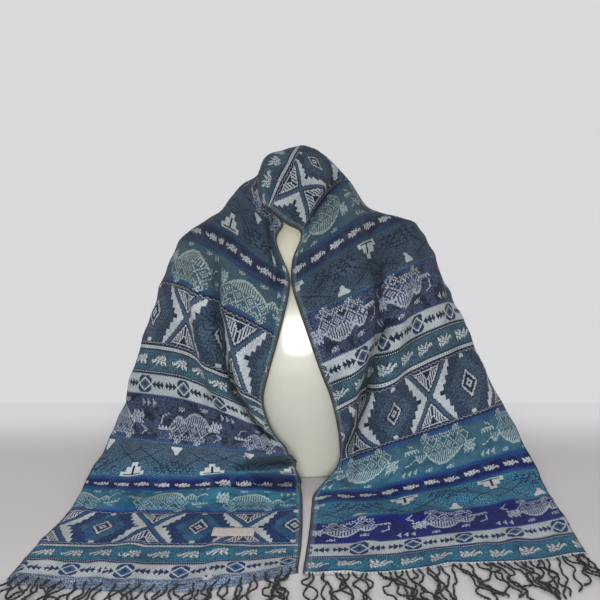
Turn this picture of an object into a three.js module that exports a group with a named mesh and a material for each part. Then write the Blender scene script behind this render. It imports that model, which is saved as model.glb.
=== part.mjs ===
// A pashmina shawl draped over a limbless display bust.
// The shawl is one woven length with twisted fringe at both ends. It is folded in half lengthwise,
// lies over the neck stump and both shoulders, and its two ends run forward and lie flat in front.
// Millimetres, +Z up, front towards -Y. The origin is under the middle of the whole part.
import * as THREE from 'three';

// Driving sizes.
const clothWall = 2; // both layers of the folded cloth together
const seamGap = 0.3; // between neighbouring stretches, and under anything that lies on the cloth
const endGap = 0.4; // between a free end and the fringe or layer in front of it
const acrossSteps = 20; // facets from the selvedges to the fold
const underLayerShow = 13; // how far the under layer of the left end reaches past the top layer
const fringeReach = 82;
const fringeHeight = 4;
const labelSize = { along: 24, across: 60, thick: 0.6 };
const labelMiddle = { along: -854, across: 96 };
const bustFacets = 32;
const bustClearance = clothWall / 2 + 1.6; // from the bust to the cloth's middle level

// One row for each section across the folded strip. `along` is the distance along the cloth from
// the middle of the neck, negative to the left. The five points run from the selvedges (inner)
// over the front and the shoulder ridge to the nape or back, and end on the lengthwise fold (outer).
const sections = [
  { along: -978, inner: [-4, -368, 1], front: [-115, -410, 1], ridge: [-200, -412, 1],
    nape: [-280, -405, 1], outer: [-355, -395, 1] },
  { along: -891, inner: [0, -310, 1], front: [-115, -312, 1], ridge: [-200, -312, 1],
    nape: [-280, -312, 1], outer: [-352, -310, 1] },
  { along: -788, inner: [2, -206, 1], front: [-115, -209, 1], ridge: [-200, -209, 1],
    nape: [-280, -210, 1], outer: [-344, -205, 1] },
  { along: -722, inner: [1, -156, 8], front: [-110, -148, 10], ridge: [-200, -146, 8],
    nape: [-280, -144, 8], outer: [-346, -140, 8] },
  { along: -688, inner: [-3, -142, 30], front: [-106, -130, 28], ridge: [-195, -122, 20],
    nape: [-280, -116, 17], outer: [-346, -110, 17] },
  { along: -614, inner: [-14, -130, 60], front: [-90, -120, 65], ridge: [-190, -96, 66],
    nape: [-280, -70, 69], outer: [-326, -42, 66] },
  { along: -548, inner: [-40, -122, 90], front: [-100, -110, 115], ridge: [-185, -78, 136],
    nape: [-294, -38, 140], outer: [-304, 12, 128] },
  { along: -471, inner: [-60, -116, 139], front: [-115, -96, 175], ridge: [-180, -68, 213],
    nape: [-274, -10, 218], outer: [-278, 65, 196] },
  { along: -368, inner: [-35, -118, 252], front: [-95, -110, 286], ridge: [-165, -70, 318],
    nape: [-236, 5, 328], outer: [-242, 110, 280] },
  { along: -302, inner: [-24, -116, 319], front: [-76, -103, 346], ridge: [-130, -64, 380],
    nape: [-208, 6, 401], outer: [-206, 120, 312] },
  { along: -268, inner: [-26, -104, 346], front: [-72, -86, 380], ridge: [-118, -48, 414],
    nape: [-176, 10, 423], outer: [-172, 124, 310] },
  { along: -194, inner: [-39, -76, 404], front: [-66, -58, 444], ridge: [-89, -34, 468],
    nape: [-109, 12, 485], outer: [-108, 124, 312] },
  { along: -128, inner: [-62, -66, 458], front: [-68, -54, 488], ridge: [-60, -10, 535],
    nape: [-52, 40, 512], outer: [-50, 118, 324] },
  { along: -51, inner: [-50, -68, 452], front: [-32, -60, 502], ridge: [-6, -6, 557],
    nape: [10, 58, 500], outer: [8, 118, 336] },
  { along: 0, inner: [-20, -70, 434], front: [-3, -60, 490], ridge: [26, -6, 553],
    nape: [50, 56, 484], outer: [52, 120, 328] },
  { along: 51, inner: [4, -74, 418], front: [36, -60, 464], ridge: [78, -12, 503],
    nape: [96, 50, 456], outer: [96, 122, 316] },
  { along: 117, inner: [-8, -88, 370], front: [56, -68, 412], ridge: [114, -24, 444],
    nape: [152, 24, 440], outer: [154, 120, 318] },
  { along: 151, inner: [-12, -106, 334], front: [62, -82, 378], ridge: [134, -36, 416],
    nape: [200, 14, 427], outer: [204, 110, 340] },
  { along: 225, inner: [17, -116, 285], front: [85, -104, 316], ridge: [160, -62, 350],
    nape: [234, 6, 368], outer: [244, 96, 312] },
  { along: 291, inner: [39, -117, 206], front: [106, -106, 242], ridge: [180, -66, 276],
    nape: [266, -6, 296], outer: [276, 72, 264] },
  { along: 368, inner: [57, -112, 128], front: [122, -106, 164], ridge: [204, -74, 196],
    nape: [298, -26, 222], outer: [310, 34, 202] },
  { along: 471, inner: [64, -114, 42], front: [140, -106, 68], ridge: [240, -86, 94],
    nape: [334, -58, 118], outer: [356, -20, 112] },
  { along: 537, inner: [24, -152, 6], front: [120, -140, 10], ridge: [220, -120, 26],
    nape: [320, -94, 44], outer: [380, -76, 52] },
  { along: 571, inner: [20, -186, 1], front: [115, -172, 2], ridge: [215, -146, 8],
    nape: [315, -120, 22], outer: [391, -98, 28] },
  { along: 645, inner: [16, -256, 1], front: [110, -244, 1], ridge: [208, -218, 1],
    nape: [310, -188, 1], outer: [394, -152, 1] },
  { along: 788, inner: [5, -396, 1], front: [105, -393, 1], ridge: [202, -372, 1],
    nape: [296, -364, 1], outer: [374, -343, 1] },
];

// The largest folds. Each runs from one place on the cloth to another; places are [along, across],
// with across counted from the selvedges. A negative rise is a trough.
const folds = [
  { name: 'left crease, top', from: [-330, 130], to: [-400, 108], rise: -9, reach: 16 },
  { name: 'left crease, middle', from: [-400, 108], to: [-480, 70], rise: -13, reach: 16 },
  { name: 'left crease, foot', from: [-480, 70], to: [-560, 24], rise: -10, reach: 15 },
  { name: 'left roll over the foot', from: [-640, 0], to: [-668, 90], rise: 11, reach: 14 },
  { name: 'left tuck under the roll', from: [-668, 10], to: [-690, 110], rise: -7, reach: 11 },
  { name: 'right crease, top', from: [196, 136], to: [291, 120], rise: -12, reach: 17 },
  { name: 'right crease, middle', from: [291, 120], to: [368, 62], rise: -15, reach: 17 },
  { name: 'right crease, foot', from: [368, 62], to: [450, 14], rise: -11, reach: 15 },
  { name: 'neck crease', from: [20, 180], to: [58, 60], rise: -6, reach: 12 },
  { name: 'right side sag', from: [300, 270], to: [400, 250], rise: -7, reach: 26 },
  { name: 'left back sag', from: [-300, 300], to: [-200, 330], rise: 8, reach: 26 },
  { name: 'right back sag', from: [90, 320], to: [190, 300], rise: 8, reach: 26 },
];

// The neck stretch lies over the top of the left shoulder stretch in one pleat.
const pleat = { neckFrom: -128, shoulderTo: -100, lift: clothWall + 0.6, fadeTo: -55 };

// Each stretch of the cloth that shows: where it starts and ends along the length, and its facets.
const stretches = [
  { name: 'shawl_end_left', from: -978, to: -722, step: 43 },
  { name: 'shawl_fall_left', from: -722, to: -368, step: 22 },
  { name: 'shawl_shoulder_left', from: -368, to: pleat.shoulderTo, step: 19 },
  { name: 'shawl_neck', from: pleat.neckFrom, to: 51, step: 12, lifted: true },
  { name: 'shawl_shoulder_right', from: 51, to: 225, step: 18 },
  { name: 'shawl_fall_right', from: 225, to: 537, step: 22 },
  { name: 'shawl_end_right', from: 537, to: 788, step: 36 },
];

// Level rings of the bust: half width, front and back reach from the middle, and squareness.
const bustRings = [
  { height: 0, halfWidth: 122, front: -71, back: 66, power: 2.3 },
  { height: 4, halfWidth: 126, front: -75, back: 70, power: 2.3 },
  { height: 60, halfWidth: 128, front: -79, back: 72, power: 2.3 },
  { height: 120, halfWidth: 136, front: -94, back: 78, power: 2.3 },
  { height: 180, halfWidth: 148, front: -108, back: 86, power: 2.3 },
  { height: 210, halfWidth: 155, front: -109, back: 90, power: 2.3 },
  { height: 240, halfWidth: 163, front: -106, back: 94, power: 2.3 },
  { height: 280, halfWidth: 174, front: -100, back: 98, power: 2.3 },
  { height: 320, halfWidth: 185, front: -93, back: 98, power: 2.2 },
  { height: 350, halfWidth: 190, front: -85, back: 94, power: 2.1 },
  { height: 372, halfWidth: 190, front: -77, back: 86, power: 2 },
  { height: 388, halfWidth: 182, front: -71, back: 78, power: 2 },
  { height: 402, halfWidth: 160, front: -63, back: 70, power: 1.9 },
  { height: 416, halfWidth: 126, front: -58, back: 62, power: 1.9 },
  { height: 432, halfWidth: 88, front: -54, back: 55, power: 1.9 },
  { height: 448, halfWidth: 64, front: -51, back: 51, power: 2 },
  { height: 470, halfWidth: 53, front: -48, back: 48, power: 2 },
  { height: 505, halfWidth: 49, front: -46, back: 46, power: 2 },
];
const neckDome = { base: 505, rise: 48, rings: 5 }; // rounds off the neck stump

const finishes = {
  cloth: new THREE.MeshStandardMaterial({ color: 0x2f4f74, roughness: 0.8, metalness: 0 }),
  fringe: new THREE.MeshStandardMaterial({ color: 0x26282f, roughness: 0.85, metalness: 0 }),
  label: new THREE.MeshStandardMaterial({ color: 0xd9cbc6, roughness: 0.45, metalness: 0 }),
  bust: new THREE.MeshStandardMaterial({ color: 0xdcdac6, roughness: 0.2, metalness: 0 }),
};

const clamp = THREE.MathUtils.clamp;
const pointNames = ['inner', 'front', 'ridge', 'nape', 'outer'];
const acrossWidth = 360;
const fineAcross = 72; // points kept along each section curve, evenly spaced

function smoothCurve(points) {
  return new THREE.CatmullRomCurve3(points, false, 'centripetal');
}

// Every section as evenly spaced points, then one curve along the cloth for each of them.
const sectionPoints = sections.map((row) =>
  smoothCurve(pointNames.map((name) => new THREE.Vector3(...row[name]))).getSpacedPoints(fineAcross));
const runs = [];
for (let j = 0; j <= fineAcross; j++) runs.push(smoothCurve(sectionPoints.map((points) => points[j])));

function drapePoint(along, across) {
  let k = 0;
  while (k < sections.length - 2 && along > sections[k + 1].along) k++;
  const part = (along - sections[k].along) / (sections[k + 1].along - sections[k].along);
  const t = clamp((k + part) / (sections.length - 1), 0, 1);
  const place = clamp(across / acrossWidth, 0, 1) * fineAcross;
  const j = Math.min(Math.floor(place), fineAcross - 1);
  const point = runs[j].getPoint(t).lerp(runs[j + 1].getPoint(t), place - j);
  point.z = Math.max(point.z, clothWall / 2);
  return point;
}

function drapeNormal(along, across) {
  const first = sections[0].along;
  const last = sections[sections.length - 1].along;
  const reach = 6;
  const alongWay = drapePoint(Math.min(along + reach, last), across)
    .sub(drapePoint(Math.max(along - reach, first), across));
  const acrossWay = drapePoint(along, Math.min(across + reach, acrossWidth))
    .sub(drapePoint(along, Math.max(across - reach, 0)));
  return alongWay.cross(acrossWay).normalize();
}

// How far the folds lift the cloth at one place.
function foldRise(along, across) {
  let rise = 0;
  for (const fold of folds) {
    const way = [fold.to[0] - fold.from[0], fold.to[1] - fold.from[1]];
    const off = [along - fold.from[0], across - fold.from[1]];
    const length = Math.hypot(...way);
    const share = (off[0] * way[0] + off[1] * way[1]) / length ** 2;
    const beyond = (share - clamp(share, 0, 1)) * length;
    const aside = (off[0] * way[1] - off[1] * way[0]) / length;
    rise += fold.rise * Math.exp(-(aside ** 2 + beyond ** 2) / fold.reach ** 2);
  }
  return rise;
}

// The bust's ring at any height, between the rows of its table.
function bustRingAt(height) {
  let k = 0;
  while (k < bustRings.length - 2 && height > bustRings[k + 1].height) k++;
  const [low, high] = [bustRings[k], bustRings[k + 1]];
  const share = clamp((height - low.height) / (high.height - low.height), 0, 1);
  const between = (name) => low[name] + (high[name] - low[name]) * share;
  return { halfWidth: between('halfWidth'), front: between('front'), back: between('back'),
    power: between('power') };
}

// Moves a point of the cloth's middle level outwards where it would touch the bust.
function restOnBust(point) {
  const ring = bustRingAt(point.z);
  const depth = point.y < 0 ? -ring.front : ring.back;
  const overDome = Math.max(point.z - neckDome.base, 0) / neckDome.rise;
  const reach = (Math.abs(point.x / ring.halfWidth) ** ring.power
    + Math.abs(point.y / depth) ** ring.power + overDome ** ring.power) ** (1 / ring.power);
  const least = 1 + bustClearance / depth;
  if (reach >= least) return;
  point.x *= least / reach;
  point.y *= least / reach;
  if (overDome > 0) point.z = neckDome.base + (overDome * neckDome.rise * least) / reach;
}

function clothPoint(along, across, out, lift) {
  const point = drapePoint(along, across);
  const normal = drapeNormal(along, across);
  point.addScaledVector(normal, foldRise(along, across));
  restOnBust(point);
  point.z = Math.max(point.z, clothWall / 2);
  point.addScaledVector(normal, lift + out);
  point.z = Math.max(point.z, 0);
  return point;
}

// A closed wall over a grid of places, from one distance off the cloth's middle to another.
function wall(alongs, acrosses, low, high, liftAt = () => 0) {
  const rows = alongs.length;
  const columns = acrosses.length;
  const positions = [];
  for (const out of [low, high]) {
    for (const along of alongs) {
      for (const across of acrosses) positions.push(...clothPoint(along, across, out, liftAt(along)));
    }
  }
  const at = (layer, i, j) => layer * rows * columns + i * columns + j;
  const faces = [];
  const quad = (a, b, c, d) => faces.push(a, b, c, a, c, d);
  for (let i = 0; i < rows - 1; i++) {
    for (let j = 0; j < columns - 1; j++) {
      quad(at(0, i, j), at(0, i, j + 1), at(0, i + 1, j + 1), at(0, i + 1, j));
      quad(at(1, i, j), at(1, i + 1, j), at(1, i + 1, j + 1), at(1, i, j + 1));
    }
  }
  for (let i = 0; i < rows - 1; i++) {
    quad(at(0, i, 0), at(0, i + 1, 0), at(1, i + 1, 0), at(1, i, 0));
    quad(at(0, i + 1, columns - 1), at(0, i, columns - 1), at(1, i, columns - 1), at(1, i + 1, columns - 1));
  }
  for (let j = 0; j < columns - 1; j++) {
    quad(at(0, 0, j + 1), at(0, 0, j), at(1, 0, j), at(1, 0, j + 1));
    quad(at(0, rows - 1, j), at(0, rows - 1, j + 1), at(1, rows - 1, j + 1), at(1, rows - 1, j));
  }
  return solid(positions, faces);
}

function solid(positions, faces) {
  const geometry = new THREE.BufferGeometry();
  geometry.setAttribute('position', new THREE.Float32BufferAttribute(positions, 3));
  geometry.setIndex(faces);
  return geometry;
}

function spaced(from, to, count) {
  return Array.from({ length: count + 1 }, (_, i) => from + ((to - from) * i) / count);
}

function piece(name, geometry, finish) {
  const mesh = new THREE.Mesh(geometry, finish);
  mesh.name = name;
  return mesh;
}

function stretchPiece({ name, from, to, step, lifted }) {
  const start = from + (from === sections[0].along ? 0 : seamGap / 2);
  const end = to - (to === sections[sections.length - 1].along ? 0 : seamGap / 2);
  const alongs = spaced(start, end, Math.ceil((end - start) / step));
  const span = pleat.fadeTo - pleat.shoulderTo;
  const liftAt = lifted
    ? (along) => pleat.lift * (1 - THREE.MathUtils.smoothstep(along, pleat.shoulderTo, pleat.shoulderTo + span))
    : undefined;
  const acrosses = spaced(0, acrossWidth, acrossSteps);
  return piece(name, wall(alongs, acrosses, -clothWall / 2, clothWall / 2, liftAt), finishes.cloth);
}

// A flat slab on the table that carries on from a free end of the cloth.
function endSlab(name, endAlong, near, far, height, finish, sideways) {
  const positions = [];
  const steps = acrossSteps;
  for (const level of [height, 0]) {
    for (const [distance, spread] of [[near, 0], [far, sideways]]) {
      for (const across of spaced(0, acrossWidth, steps)) {
        const edge = drapePoint(endAlong, across);
        positions.push(edge.x + spread, edge.y - distance, level);
      }
    }
  }
  const count = steps + 1;
  const at = (layer, row, j) => (layer * 2 + row) * count + j;
  const faces = [];
  const quad = (a, b, c, d) => faces.push(a, b, c, a, c, d);
  for (let j = 0; j < steps; j++) {
    quad(at(0, 0, j), at(0, 0, j + 1), at(0, 1, j + 1), at(0, 1, j));
    quad(at(1, 0, j), at(1, 1, j), at(1, 1, j + 1), at(1, 0, j + 1));
    quad(at(0, 0, j + 1), at(0, 0, j), at(1, 0, j), at(1, 0, j + 1));
    quad(at(0, 1, j), at(0, 1, j + 1), at(1, 1, j + 1), at(1, 1, j));
  }
  quad(at(0, 0, 0), at(0, 1, 0), at(1, 1, 0), at(1, 0, 0));
  quad(at(0, 1, steps), at(0, 0, steps), at(1, 0, steps), at(1, 1, steps));
  const runsLeft = positions[3 * steps] < positions[0];
  return piece(name, solid(positions, runsLeft ? faces : faces.reverse()), finish);
}

function labelPiece() {
  const { along, across } = labelMiddle;
  const alongs = spaced(along - labelSize.along / 2, along + labelSize.along / 2, 2);
  const acrosses = spaced(across - labelSize.across / 2, across + labelSize.across / 2, 4);
  const low = clothWall / 2 + seamGap;
  return piece('shawl_label', wall(alongs, acrosses, low, low + labelSize.thick), finishes.label);
}

function bustPiece() {
  const positions = [];
  const neck = bustRings[bustRings.length - 1];
  const dome = spaced(0, Math.PI / 2, neckDome.rings + 1).slice(1, -1).map((turn) => ({
    height: neckDome.base + neckDome.rise * Math.sin(turn),
    halfWidth: neck.halfWidth * Math.cos(turn),
    front: neck.front * Math.cos(turn),
    back: neck.back * Math.cos(turn),
    power: neck.power,
  }));
  const rings = [...bustRings, ...dome];
  for (const ring of rings) {
    for (let i = 0; i < bustFacets; i++) {
      const angle = (i / bustFacets) * Math.PI * 2;
      const [c, s] = [Math.cos(angle), Math.sin(angle)];
      const x = Math.sign(c) * Math.abs(c) ** (2 / ring.power) * ring.halfWidth;
      const depth = s < 0 ? -ring.front : ring.back;
      const y = Math.sign(s) * Math.abs(s) ** (2 / ring.power) * depth;
      positions.push(x, y, ring.height);
    }
  }
  const top = rings.length * bustFacets;
  positions.push(0, 0, neckDome.base + neckDome.rise, 0, 0, 0);
  const faces = [];
  for (let i = 0; i < bustFacets; i++) {
    const next = (i + 1) % bustFacets;
    for (let k = 0; k < rings.length - 1; k++) {
      const [low, high] = [k * bustFacets, (k + 1) * bustFacets];
      faces.push(low + i, low + next, high + next, low + i, high + next, high + i);
    }
    faces.push(top - bustFacets + i, top - bustFacets + next, top, next, i, top + 1);
  }
  return piece('display_bust', solid(positions, faces), finishes.bust);
}

const part = new THREE.Group();
part.add(bustPiece());
for (const stretch of stretches) part.add(stretchPiece(stretch));
part.add(endSlab('shawl_under_left', -978, endGap, underLayerShow, 1, finishes.cloth, 0));
part.add(endSlab('fringe_left', -978, underLayerShow + endGap, underLayerShow + fringeReach,
  fringeHeight, finishes.fringe, -6));
part.add(endSlab('fringe_right', 788, endGap, fringeReach, fringeHeight, finishes.fringe, 10));
part.add(labelPiece());

// Put the origin under the middle of the part's box.
const box = new THREE.Box3().setFromObject(part);
const middle = box.getCenter(new THREE.Vector3());
part.position.set(-middle.x, -middle.y, -box.min.z);

export default part;
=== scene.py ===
import math
import random

import bpy
import numpy as np
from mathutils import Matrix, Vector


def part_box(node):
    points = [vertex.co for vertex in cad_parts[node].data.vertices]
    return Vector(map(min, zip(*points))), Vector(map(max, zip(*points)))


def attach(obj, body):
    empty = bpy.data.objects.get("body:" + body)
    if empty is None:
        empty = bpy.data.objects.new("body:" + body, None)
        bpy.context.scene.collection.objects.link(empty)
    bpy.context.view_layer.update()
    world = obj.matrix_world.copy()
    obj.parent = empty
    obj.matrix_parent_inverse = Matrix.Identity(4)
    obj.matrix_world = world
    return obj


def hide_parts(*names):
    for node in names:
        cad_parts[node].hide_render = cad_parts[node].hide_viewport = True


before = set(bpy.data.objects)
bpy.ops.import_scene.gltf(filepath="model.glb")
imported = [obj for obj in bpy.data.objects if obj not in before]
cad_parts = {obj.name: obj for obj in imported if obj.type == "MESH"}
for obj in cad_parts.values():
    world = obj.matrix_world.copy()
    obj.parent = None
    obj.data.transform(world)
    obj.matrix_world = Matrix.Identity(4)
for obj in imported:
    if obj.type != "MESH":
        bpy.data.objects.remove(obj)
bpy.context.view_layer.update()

# Sizes are in metres where nothing else is said, and places are counted from the bust's axis.
bustLow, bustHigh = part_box("display_bust")
chestReach = 0.109  # from the axis to the front of the bust
axis = np.array([(bustLow.x + bustHigh.x) / 2, bustLow.y + chestReach, 0.0])


def pick(thing):
    bpy.ops.object.select_all(action="DESELECT")
    thing.select_set(True)
    bpy.context.view_layer.objects.active = thing


def applyModifier(thing, kind, **settings):
    pick(thing)
    modifier = thing.modifiers.new(kind.title(), kind)
    for name, value in settings.items():
        setattr(modifier, name, value)
    bpy.ops.object.modifier_apply(modifier=modifier.name)


# ---- camera
view = {"eye": (0.0, -1.2, 0.434), "pitchDown": 6.6, "focal": 41.4, "sensor": 36.0}


def makeCamera():
    eye = axis + np.array(view["eye"])
    bpy.ops.object.camera_add(location=eye, rotation=(math.radians(90 - view["pitchDown"]), 0, 0))
    camera = bpy.context.object
    camera.data.lens = view["focal"]
    camera.data.sensor_width = view["sensor"]
    camera.data.clip_start = 0.05
    bpy.context.scene.camera = camera


makeCamera()
print("camera set")


# ---- the form the shawl hangs in
cloth = {
    "width": 0.72,  # selvedge to selvedge
    "foldedWidth": 0.36,
    "leftEnd": -0.978,  # along the cloth from the middle of the neck
    "rightEnd": 0.788,
    "thickness": 0.0006,
    "layerOffset": 0.0007,  # from the middle between the two layers to each of them
    "rowStep": 0.005,
    "columns": 72,  # across the top layer
    "bustClearance": 0.0026,
    "tableLevel": 0.001,  # least height of the middle between the layers
    "underReach": 0.013,  # how far the under layer of the left end lies past the top one
    "underSpan": 0.25,  # over what length it gets there
}

# Sections across the folded shawl, in millimetres: along, then the inner, front, ridge, nape
# and outer points.
sectionRows = [
    (-978, (-4, -378, 1), (-115, -419, 1), (-200, -421, 1), (-280, -414, 1), (-355, -402, 1)),
    (-891, (0, -318, 1), (-115, -321, 1), (-200, -321, 1), (-280, -320, 1), (-352, -316, 1)),
    (-788, (2, -210, 1), (-115, -214, 1), (-200, -214, 1), (-280, -214, 1), (-344, -208, 1)),
    (-722, (1, -156, 8), (-110, -148, 10), (-200, -146, 8), (-280, -144, 8), (-346, -140, 8)),
    (-688, (-3, -142, 30), (-106, -130, 28), (-195, -122, 20), (-280, -116, 17), (-346, -110, 17)),
    (-614, (-14, -130, 60), (-90, -120, 65), (-190, -96, 66), (-280, -70, 69), (-326, -42, 66)),
    (-548, (-40, -122, 90), (-100, -110, 115), (-185, -78, 136), (-294, -38, 140), (-304, 12, 128)),
    (-471, (-60, -116, 139), (-115, -96, 175), (-180, -68, 213), (-274, -10, 218), (-278, 65, 196)),
    (-368, (-35, -118, 252), (-95, -110, 286), (-165, -70, 318), (-236, 5, 328), (-242, 110, 280)),
    (-302, (-19, -116, 319), (-76, -103, 346), (-130, -64, 380), (-208, 6, 401), (-206, 120, 312)),
    (-268, (-18, -104, 346), (-72, -86, 380), (-118, -48, 414), (-176, 10, 423), (-172, 124, 310)),
    (-194, (-39, -76, 404), (-66, -58, 444), (-89, -34, 468), (-109, 12, 485), (-108, 124, 312)),
    (-160, (-30, -78, 429), (-66, -57, 466), (-72, -23, 503), (-77, 27, 500), (-76, 121, 318)),
    (-128, (-62, -66, 458), (-66, -54, 488), (-53, -10, 536), (-46, 40, 512), (-46, 118, 324)),
    (-51, (-50, -68, 452), (-26, -60, 502), (7, -6, 557), (20, 58, 500), (14, 118, 336)),
    (0, (-23, -71, 430), (3, -60, 490), (36, -6, 548), (56, 56, 484), (55, 120, 328)),
    (51, (2, -75, 415), (36, -60, 464), (78, -12, 500), (96, 50, 456), (96, 122, 316)),
    (117, (-11, -88, 370), (56, -68, 412), (114, -24, 444), (152, 24, 440), (154, 120, 318)),
    (151, (-12, -106, 334), (62, -82, 378), (134, -36, 416), (200, 14, 427), (204, 110, 340)),
    (225, (3, -116, 285), (85, -104, 316), (160, -62, 350), (234, 6, 368), (244, 96, 312)),
    (291, (30, -117, 206), (106, -106, 242), (180, -66, 276), (266, -6, 296), (276, 72, 264)),
    (368, (57, -112, 128), (122, -106, 164), (204, -74, 196), (298, -26, 222), (310, 34, 202)),
    (471, (64, -114, 42), (140, -106, 68), (240, -86, 94), (334, -58, 118), (356, -20, 112)),
    (537, (24, -152, 6), (120, -140, 10), (220, -120, 26), (320, -94, 44), (380, -76, 52)),
    (571, (20, -186, 1), (115, -172, 2), (215, -146, 8), (315, -120, 22), (391, -98, 28)),
    (645, (16, -256, 1), (110, -244, 1), (208, -218, 1), (310, -188, 1), (394, -152, 1)),
    (788, (5, -396, 1), (105, -393, 1), (202, -372, 1), (296, -364, 1), (374, -343, 1)),
]

# Creases and rolls, in millimetres: from one (along, across) place to another, rise and reach.
# A negative rise is a trough.
creases = {
    "left crease, top": ((-330, 130), (-400, 108), -20, 10),
    "left crease, middle": ((-400, 108), (-480, 70), -26, 10),
    "left crease, foot": ((-480, 70), (-560, 24), -21, 10),
    "left outer lobe": ((-340, 158), (-520, 104), 17, 20),
    "left inner lobe": ((-360, 85), (-470, 36), 13, 16),
    "left upper roll": ((-605, 0), (-628, 70), 21, 11),
    "left upper tuck": ((-637, 0), (-648, 50), -22, 6.5),
    "left upper tuck, end": ((-650, 56), (-668, 100), -14, 6),
    "left lower roll": ((-666, 0), (-682, 70), 22, 12),
    "left lower tuck": ((-697, 0), (-702, 70), -19, 7),
    "left lower tuck, end": ((-703, 77), (-714, 130), -11, 6.5),
    "left wave, outer": ((-740, 300), (-790, 250), 7, 16),
    "left wave, inner": ((-735, 120), (-745, 190), 6, 15),
    "right crease, start": ((140, 146), (182, 140), -7, 12),
    "right crease, top": ((200, 136), (291, 120), -21, 11),
    "right crease, middle": ((291, 120), (368, 62), -27, 11),
    "right crease, foot": ((368, 62), (450, 14), -21, 10),
    "right outer lobe": ((220, 175), (400, 90), 16, 21),
    "right inner lobe": ((250, 85), (340, 40), 14, 17),
    "neck crease": ((40, 125), (58, 30), -18, 9),
    "right wave, inner": ((640, 70), (655, 170), 7, 18),
    "right wave, outer": ((600, 210), (640, 280), 7, 20),
    "left inner edge": ((-160, 34), (-300, 22), -10, 8),
    "right inner edge": ((450, 34), (520, 44), -10, 9),
    "right side sag": ((300, 270), (400, 250), -7, 26),
    "left back sag": ((-300, 300), (-200, 330), 8, 26),
    "right back sag": ((90, 320), (190, 300), 8, 26),
}
creaseLines = [[np.array(value) / 1000 for value in crease] for crease in creases.values()]

# The pleat at the left of the neck, in millimetres: place along the cloth, place along the form,
# and lift off it.
pleatPath = np.array([
    (-142, -142, 0), (-128, -128, 0), (-116, -113, 0), (-112, -111, 1.2), (-108, -114, 2.2),
    (-99, -128, 2.6), (-96.5, -130.5, 3.6), (-94, -129, 4.8), (-85, -118, 5), (-70, -90, 3.6),
    (-51, -55, 0.8), (-40, -40, 0),
]) / 1000

# Level rings of the bust: height, half width, front and back in millimetres, then squareness.
bustRows = np.array([
    (0, 122, 71, 66, 2.3), (4, 126, 75, 70, 2.3), (60, 128, 79, 72, 2.3), (120, 136, 94, 78, 2.3),
    (180, 148, 108, 86, 2.3), (210, 155, 109, 90, 2.3), (240, 163, 106, 94, 2.3),
    (280, 174, 100, 98, 2.3), (320, 185, 93, 98, 2.2), (350, 190, 85, 94, 2.1),
    (372, 190, 77, 86, 2.0), (388, 182, 71, 78, 2.0), (402, 160, 63, 70, 1.9),
    (416, 126, 58, 62, 1.9), (432, 88, 54, 55, 1.9), (448, 64, 51, 51, 2.0),
    (470, 53, 48, 48, 2.0), (505, 49, 46, 46, 2.0),
]) / (1000, 1000, 1000, 1000, 1)
neckDome = {"base": 0.505, "rise": 0.048}


def smoothCurve(points, places):
    # A centripetal Catmull-Rom curve through points, at places from 0 to 1.
    count = len(points)
    spot = np.clip(places, 0, 1) * (count - 1)
    k = np.minimum(spot.astype(int), count - 2)
    w = (spot - k).reshape((-1,) + (1,) * (points.ndim - 1))
    ends = np.concatenate([2 * points[:1] - points[1:2], points, 2 * points[-1:] - points[-2:-1]])
    p0, p1, p2, p3 = (ends[k + i] for i in range(4))
    d0, d1, d2 = (np.maximum(np.sum((b - a) ** 2, axis=-1, keepdims=True) ** 0.25, 1e-6)
                  for a, b in ((p0, p1), (p1, p2), (p2, p3)))
    t1 = ((p1 - p0) / d0 - (p2 - p0) / (d0 + d1) + (p2 - p1) / d1) * d1
    t2 = ((p2 - p1) / d1 - (p3 - p1) / (d1 + d2) + (p3 - p2) / d2) * d1
    return (p1 + t1 * w + (-3 * p1 + 3 * p2 - 2 * t1 - t2) * w ** 2
            + (2 * p1 - 2 * p2 + t1 + t2) * w ** 3)


def evenPoints(points, count):
    fine = smoothCurve(points, np.linspace(0, 1, 201))
    lengths = np.concatenate([[0], np.cumsum(np.linalg.norm(np.diff(fine, axis=0), axis=1))])
    places = np.interp(np.linspace(0, lengths[-1], count + 1), lengths, np.linspace(0, 1, 201))
    return smoothCurve(points, places)


acrossPlaces = np.linspace(0, cloth["foldedWidth"], cloth["columns"] + 1)
sectionAlongs = np.array([row[0] for row in sectionRows]) / 1000
sectionGrid = np.stack([evenPoints(np.array(row[1:]) / 1000, cloth["columns"]) for row in sectionRows])


def unit(ways):
    return ways / np.maximum(np.linalg.norm(ways, axis=-1, keepdims=True), 1e-12)


def gridNormals(points):
    return unit(np.cross(np.gradient(points, axis=0), np.gradient(points, axis=1)))


def creaseRise(alongs):
    along, across = np.meshgrid(alongs, acrossPlaces, indexing="ij")
    total = np.zeros_like(along)
    for start, end, rise, reach in creaseLines:
        way = end - start
        length = np.hypot(*way)
        share = ((along - start[0]) * way[0] + (across - start[1]) * way[1]) / length ** 2
        beyond = (share - np.clip(share, 0, 1)) * length
        aside = ((along - start[0]) * way[1] - (across - start[1]) * way[0]) / length
        total += rise * np.exp(-(aside ** 2 + beyond ** 2) / reach ** 2)
    return total


# Where a crease takes up spare width: both its ends as (along, across the cloth itself), then
# how much it takes and over what width.
gathers = {
    "left, top": ((-0.300, 0.150), (-0.400, 0.122), 0.040, 0.074),
    "left, foot": ((-0.401, 0.122), (-0.560, 0.050), 0.042, 0.076),
    "hood": ((-0.090, 0.110), (0.060, 0.110), 0.036, 0.090),
    "right, top": ((0.196, 0.140), (0.300, 0.130), 0.032, 0.066),
    "right, foot": ((0.301, 0.130), (0.450, 0.030), 0.038, 0.074),
}
gatherFade = 0.06  # how far past its ends a gather dies out
gatherJoin = 0.002  # gathers closer than this run on into each other


def eased(share):
    return share * share * (3 - 2 * share)


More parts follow.
